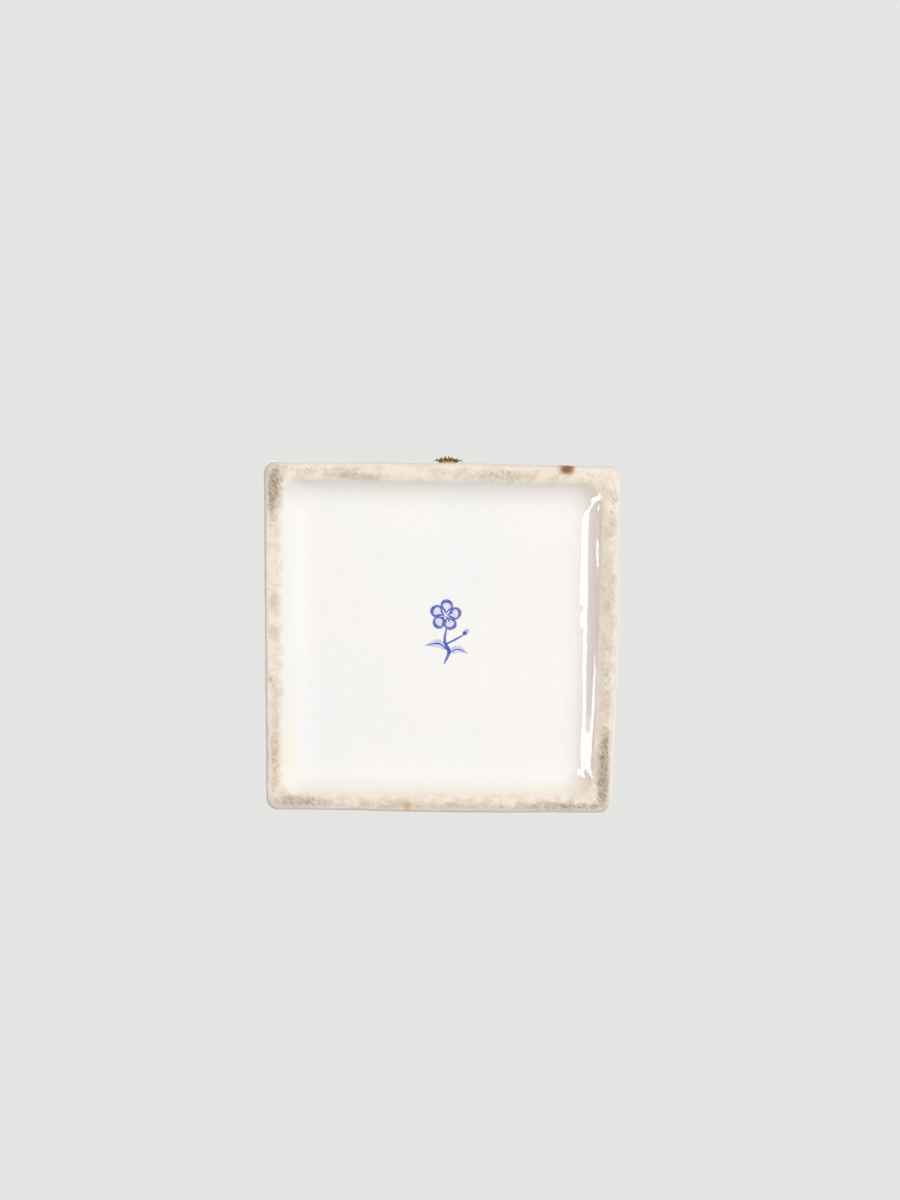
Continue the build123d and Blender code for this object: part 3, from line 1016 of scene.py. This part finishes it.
def make_paste_fibres(mound):
    """Short fibres that lie on the paste's skin, each a thin closed tube."""
    draw = random.Random(fibre_seed)
    form = Form()
    bpy.context.view_layer.update()
    for _ in range(fibre_count):
        line = fibre_line(mound, draw)
        if len(line) < fibre_steps:
            continue
        rings = []
        for index, point in enumerate(line):
            along = (line[min(index + 1, fibre_steps - 1)] - line[max(index - 1, 0)]).normalized()
            side = along.cross(Vector((0, 0, 1))).normalized()
            up = side.cross(along)
            size = fibre_radius * (0.45 + 0.55 * sin(pi * (index + 0.5) / fibre_steps))
            rings.append([point + size * (side * cos(a) + up * sin(a)) for a in fibre_sides])
        form.sleeve(rings)
    return form.make("seal_paste_fibres")


# Rope wire soldered along each collar
wire_lobes = 2
wire_waist, wire_swell = 0.76, 0.23
wire_section_steps = 12
wire_step = 0.17
wire_twist = 1.45


def make_wire(name, node):
    """A two-strand twisted wire round a collar, half sunk into it, as one closed loop."""
    low, high = mm_box(node)
    radius = (high.z - low.z) / 2
    middle_z = (high.z + low.z) / 2
    half = high.x - radius
    corner = outer_corner + half - half_side
    straight = 2 * (half - corner)
    quarter = pi / 2 * corner
    around = 4 * (straight + quarter)
    count = round(around / wire_step)
    twists = round(around / wire_twist)
    rings = []
    for index in range(count):
        away = around * index / count
        side, along = divmod(away, straight + quarter)
        if along < straight:
            local = Vector((along - straight / 2, -half, 0))
            outward = Vector((0, -1, 0))
        else:
            angle = (along - straight) / corner
            outward = Vector((sin(angle), -cos(angle), 0))
            local = Vector((half - corner, -(half - corner), 0)) + outward * corner
        turn = Euler((0, 0, side * pi / 2)).to_matrix()
        place_here, outward = turn @ local, turn @ outward
        phase = tau * twists * index / count / 2
        ring = []
        for angle in turns(wire_section_steps):
            size = radius * (wire_waist + wire_swell * cos(wire_lobes * (angle - phase)))
            across = outward * cos(angle) * size
            ring.append(place_here + across + Vector((0, 0, middle_z + sin(angle) * size)))
        rings.append(ring)
    form = Form()
    form.sleeve(rings, looped=True)
    return form.make(name)


# Clasp shell: a fluted scallop that hangs from a knob
shell_half_angle = 28.0
shell_ribs = 7
shell_rib_steps = 8
shell_rows = 26
shell_edge = 0.75
shell_lobe = 0.45
shell_flute = 0.34
shell_lip = 0.28
shell_fall = 0.58
# How far from the knob its flutes and its growth rings begin and are full
shell_flute_places, shell_ring_places = (0.6, 2.6), (2.0, 4.0)
shell_ring_depth, shell_ring_pitch = 0.035, 1.15
shell_lip_width = 0.55
# The knob's collar, as shares of its radius and how far out each lies
knob_radius = 1.05
knob_collar = [(1.0, 0.0), (1.0, 1.02), (0.9, 1.10), (0.86, 1.16)]
knob_sunk = 0.87
knob_turn_steps, knob_dome_steps = 28, 9


def make_clasp_shell():
    beak_x = (shell_low.x + shell_high.x) / 2
    beak_z = shell_high.z - knob_radius
    height = beak_z - shell_low.z
    back_y = mm_box("clasp_tongue")[0].y
    relief = back_y - shell_low.y
    reach, rise = height / 2, relief - shell_edge
    ball = (reach**2 + rise**2) / (2 * rise)
    form = Form("hollow")
    columns = shell_ribs * shell_rib_steps + 1
    tops, backs = [], []
    for column in range(columns):
        share = column / (columns - 1)
        turn = radians(shell_half_angle * (2 * share - 1))
        rib = (share * shell_ribs) % 1.0 if column < columns - 1 else 1.0
        crown = sin(pi * rib)
        tip = height - shell_lobe * (1 - crown)
        fall = 1 - shell_fall * abs(2 * share - 1) ** 1.3
        top, back, hollow = [], [], []
        for row in range(shell_rows):
            along = row / (shell_rows - 1)
            distance = tip * along
            x, down = distance * sin(turn), distance * cos(turn)
            from_middle = hypot(x, down - reach)
            dome = fall * (relief - ball + sqrt(max(0.0, ball**2 - from_middle**2)))
            fluted = smooth_share(distance, *shell_flute_places)
            flute = shell_flute * fluted * (1 - crown) ** 1.25
            ringed = smooth_share(distance, *shell_ring_places)
            growth = shell_ring_depth * (sin(tau * distance / shell_ring_pitch) - 1) * ringed
            turned_in = smooth_share(distance, tip - shell_lip_width, tip)
            lip = shell_lip * (1 - sqrt(max(0.0, 1 - turned_in**2)))
            proud = dome - flute + growth - lip
            top.append((beak_x + x, back_y - proud, beak_z - down))
            back.append((beak_x + x, back_y, beak_z - down))
            hollow.append((1 - crown) ** 1.5 * smooth_share(distance, 0.4, 2.0))
        tops.append(form.add_points(top, hollow=hollow))
        backs.append(form.add_points(back))
    for sheet in (tops, backs):
        for first, second in zip(sheet, sheet[1:]):
            form.bridge(first, second, shell_rows, closed=False)
    for side in (0, -1):
        form.bridge(tops[side], backs[side], shell_rows, closed=False)
    rim = shell_rows - 1
    for here in range(columns - 1):
        on = here + 1
        form.faces.append((tops[here] + rim, tops[on] + rim, backs[on] + rim, backs[here] + rim))
    add_knob(form, beak_x, beak_z, back_y)
    return form.make("clasp_shell_cast")


def add_knob(form, x, z, back_y):
    """A turned knob with a collar at its foot, standing out along -Y."""
    profile = [(share * knob_radius, out) for share, out in knob_collar]
    for step in range(1, knob_dome_steps):
        angle = pi / 2 * step / knob_dome_steps
        ring = 0.93 * knob_radius * cos(angle - 0.12)
        profile.append((ring, 1.22 + knob_radius * sin(angle)))
    angles = turns(knob_turn_steps)
    foot_y = back_y + knob_sunk
    rings = []
    for ring, out in profile:
        rings.append([(x + ring * cos(a), foot_y - out, z + ring * sin(a)) for a in angles])
    form.sleeve(rings)


def dress_porcelain():
    base = make_base_form().make("porcelain_base_fired")
    place(base, "base", "porcelain", make_base_porcelain(), "porcelain_base")
    lid = make_lid_form().make("porcelain_lid_fired")
    place(lid, "lid", "porcelain", make_lid_porcelain(), "porcelain_lid")


def dress_paste():
    mound = make_paste()
    fibres = make_paste_fibres(mound)
    place(mound, "base", "seal_paste", make_paste_material("paste_skin", 0.0), "seal_paste")
    place(fibres, "base", "seal_paste", make_paste_material("paste_fibre", 0.2))


edge_softening = 0.07


def dress_brass():
    lid_collar_low, lid_collar_high = mm_box("lid_collar")
    collar_lines = {
        "base_collar": (collar_high.z - 1.15, collar_low.z + 1.55),
        "lid_collar": (lid_collar_low.z + 1.15, lid_collar_high.z - 1.55),
    }
    for node, lines in collar_lines.items():
        finish_node(node, make_brass(f"{node}_gilt", gilt_bright, brass_bare, 0.06, lines), edge_softening)
    gilt = make_brass("fittings_gilt", gilt_bright, brass_bare, 0.10)
    for node in ("locating_lip", "base_hinge_leaf", "lid_hinge_leaf", "catch_plate", "clasp_tongue"):
        finish_node(node, gilt, edge_softening)
    rubbed = make_brass("pins_rubbed", pin_bright, pin_worn, 0.08)
    for node in ("hinge_pin", "catch_stud", "clasp_rivets"):
        finish_node(node, rubbed)
    aged = make_brass("shell_aged_gilt", shell_gold, shell_dull, 0.14, hollows=True)
    place(make_clasp_shell(), "lid", "gilt_brass", aged, "clasp_shell")
    wire = make_brass("wire_gilt", gilt_bright, brass_bare, 0.10)
    for half in ("base", "lid"):
        place(make_wire(f"{half}_rope_wire", f"{half}_beading"), half, "gilt_brass", wire, f"{half}_beading")
    plaster = make_plaster()
    for node in ("base_cement", "lid_cement"):
        finish_node(node, plaster)


def finish_node(node, material, softened=0.0):
    """Gives a node of the frame its finish, with its edges softened by a width in millimetres."""
    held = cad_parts[node]
    held.data.materials.clear()
    held.data.materials.append(material)
    if softened:
        weld = held.modifiers.new("weld", "WELD")
        weld.merge_threshold = MERGE_DISTANCE
        soften = held.modifiers.new("soften", "BEVEL")
        soften.width = softened * MM
        soften.segments = 2
        soften.limit_method = "ANGLE"
        soften.angle_limit = radians(40)
        soften.harden_normals = True


# Stage, in metres: a pale floor that shows only from above and fades into the plain background.
# Only its part near the box takes the box's shadow.
background_colour = (0.78, 0.78, 0.77, 1)
ambient_colour = (0.43, 0.43, 0.43, 1)
horizon_colour = (0.34, 0.335, 0.33, 1)
horizon_fade = (0.02, 0.62)
floor_colour = (0.885, 0.88, 0.87, 1)
floor_half = 6.0
ground_z = -0.00005
floor_hole_half = 0.039
floor_lit_radius, floor_fade_radius = 0.16, 0.62


def make_floor_material(name):
    """Matt and lit near the box, further out the plain background, and clear from behind."""
    material = bpy.data.materials.new(name)
    material.use_nodes = True
    nodes = Nodes(material.node_tree)
    nodes.tree.nodes.remove(nodes.tree.nodes["Principled BSDF"])
    lit = nodes.node("ShaderNodeBsdfDiffuse", floor_colour).outputs[0]
    plain = nodes.node("ShaderNodeEmission", background_colour).outputs[0]
    away = nodes.vector("LENGTH", nodes.node("ShaderNodeTexCoord").outputs["Object"])
    front = nodes.blend(nodes.span(away, floor_lit_radius, floor_fade_radius), lit, plain)
    behind = nodes.node("ShaderNodeNewGeometry").outputs["Backfacing"]
    clear = nodes.node("ShaderNodeBsdfTransparent").outputs[0]
    nodes.feed(nodes.tree.nodes["Material Output"].inputs, nodes.blend(behind, front, clear))
    return material


def make_stage():
    """The floor, a square ring that leaves the box's foot free."""
    points = [
        (x * half, y * half, ground_z)
        for half in (floor_half, floor_hole_half)
        for x, y in ((-1, -1), (1, -1), (1, 1), (-1, 1))
    ]
    faces = [(index, (index + 1) % 4, (index + 1) % 4 + 4, index + 4) for index in range(4)]
    mesh = bpy.data.meshes.new("floor")
    mesh.from_pydata(points, [], faces)
    mesh.materials.append(make_floor_material("floor"))
    floor = add_object("floor", mesh)
    floor.visible_shadow = False
    floor.visible_diffuse = False


def make_world():
    """Even pale light, a plain pale background, and a duller horizon that only reflections show."""
    world = bpy.data.worlds.new("studio")
    world.use_nodes = True
    nodes = Nodes(world.node_tree)
    rays = nodes.node("ShaderNodeLightPath").outputs
    heading = nodes.node("ShaderNodeTexCoord").outputs["Generated"]
    steep = nodes.maths("ABSOLUTE", nodes.node("ShaderNodeSeparateXYZ", heading).outputs[2])
    mirrored = nodes.mix(nodes.span(steep, *horizon_fade), horizon_colour, background_colour)
    unseen = nodes.mix(rays["Is Glossy Ray"], ambient_colour, mirrored)
    seen = nodes.most(rays["Is Camera Ray"], rays["Is Transmission Ray"])
    nodes.feed(nodes.tree.nodes["Background"].inputs, nodes.mix(seen, unseen, background_colour))
    bpy.context.scene.world = world


# Lamps: name, place in metres, width and height in metres, power in watts, colour
lamps = [
    ("key_above", (-0.62, -0.72, 0.95), (0.9, 0.9), 9.0, (1.0, 0.985, 0.96)),
    ("fill_above", (0.95, 0.55, 0.75), (1.0, 1.0), 4.5, (0.97, 0.985, 1.0)),
    ("key_below", (0.65, -0.20, -0.88), (1.0, 1.0), 10.6, (1.0, 0.985, 0.97)),
    ("fill_below", (-0.80, -0.25, -0.55), (0.9, 0.9), 2.0, (1.0, 0.985, 0.97)),
]
# A window low on the left, which only reflections show. Its panes lie on one plane that faces the box.
# Each pane: name, place along Y and across it in metres, width and height in metres, and roll in degrees
window_middle = (-0.532, 0.0, -0.825)
window_watts_per_area = 36.0
panes = [
    ("window_near", (0.040, 0.085), (0.14, 0.29), 0.0),
    ("window_slant", (0.205, -0.060), (0.29, 0.115), -38.0),
    ("window_wide", (0.41, -0.30), (0.23, 0.56), 0.0),
    ("window_far", (0.272, -0.62), (0.14, 0.15), 30.0),
    ("window_chink", (0.042, -0.63), (0.03, 0.19), 11.0),
]


def add_lamp(name, spot, size, power, colour, aim=None):
    light = bpy.data.lights.new(name, "AREA")
    light.shape = "RECTANGLE"
    light.size, light.size_y = size
    light.energy = power
    light.color = colour
    lamp = add_object(name, light)
    lamp.location = spot
    lamp.rotation_euler = (aim or Vector(spot).to_track_quat("Z", "Y")).to_euler()
    return lamp


def make_lamps():
    for lamp in lamps:
        add_lamp(*lamp).visible_glossy = not lamp[0].endswith("_below")
    facing = Vector(window_middle).to_track_quat("Z", "Y")
    for name, (along, across), size, roll in panes:
        spot = Vector(window_middle) + facing @ Vector((-along, -across, 0))
        aim = facing @ Quaternion((0, 0, 1), radians(roll))
        power = window_watts_per_area * size[0] * size[1]
        add_lamp(name, spot, size, power, (1, 1, 1), aim).visible_diffuse = False


# Camera: the photograph's, which looks at the foot from below, a little from the clasp's side
camera_place_mm = (-0.0388, -28.8551, -191.7416)
camera_turn_degrees = (174.22509, 0.50846, -0.82678)
camera_lens_mm = 25.5


def make_camera():
    data = bpy.data.cameras.new("photograph")
    data.lens = camera_lens_mm
    data.clip_start = 0.005
    camera = add_object("photograph", data)
    camera.location = Vector(camera_place_mm) * MM
    camera.rotation_euler = [radians(angle) for angle in camera_turn_degrees]
    bpy.context.scene.camera = camera


make_camera()
dress_porcelain()
dress_paste()
dress_brass()
make_stage()
make_world()
make_lamps()
bpy.context.scene.view_settings.view_transform = "Standard"
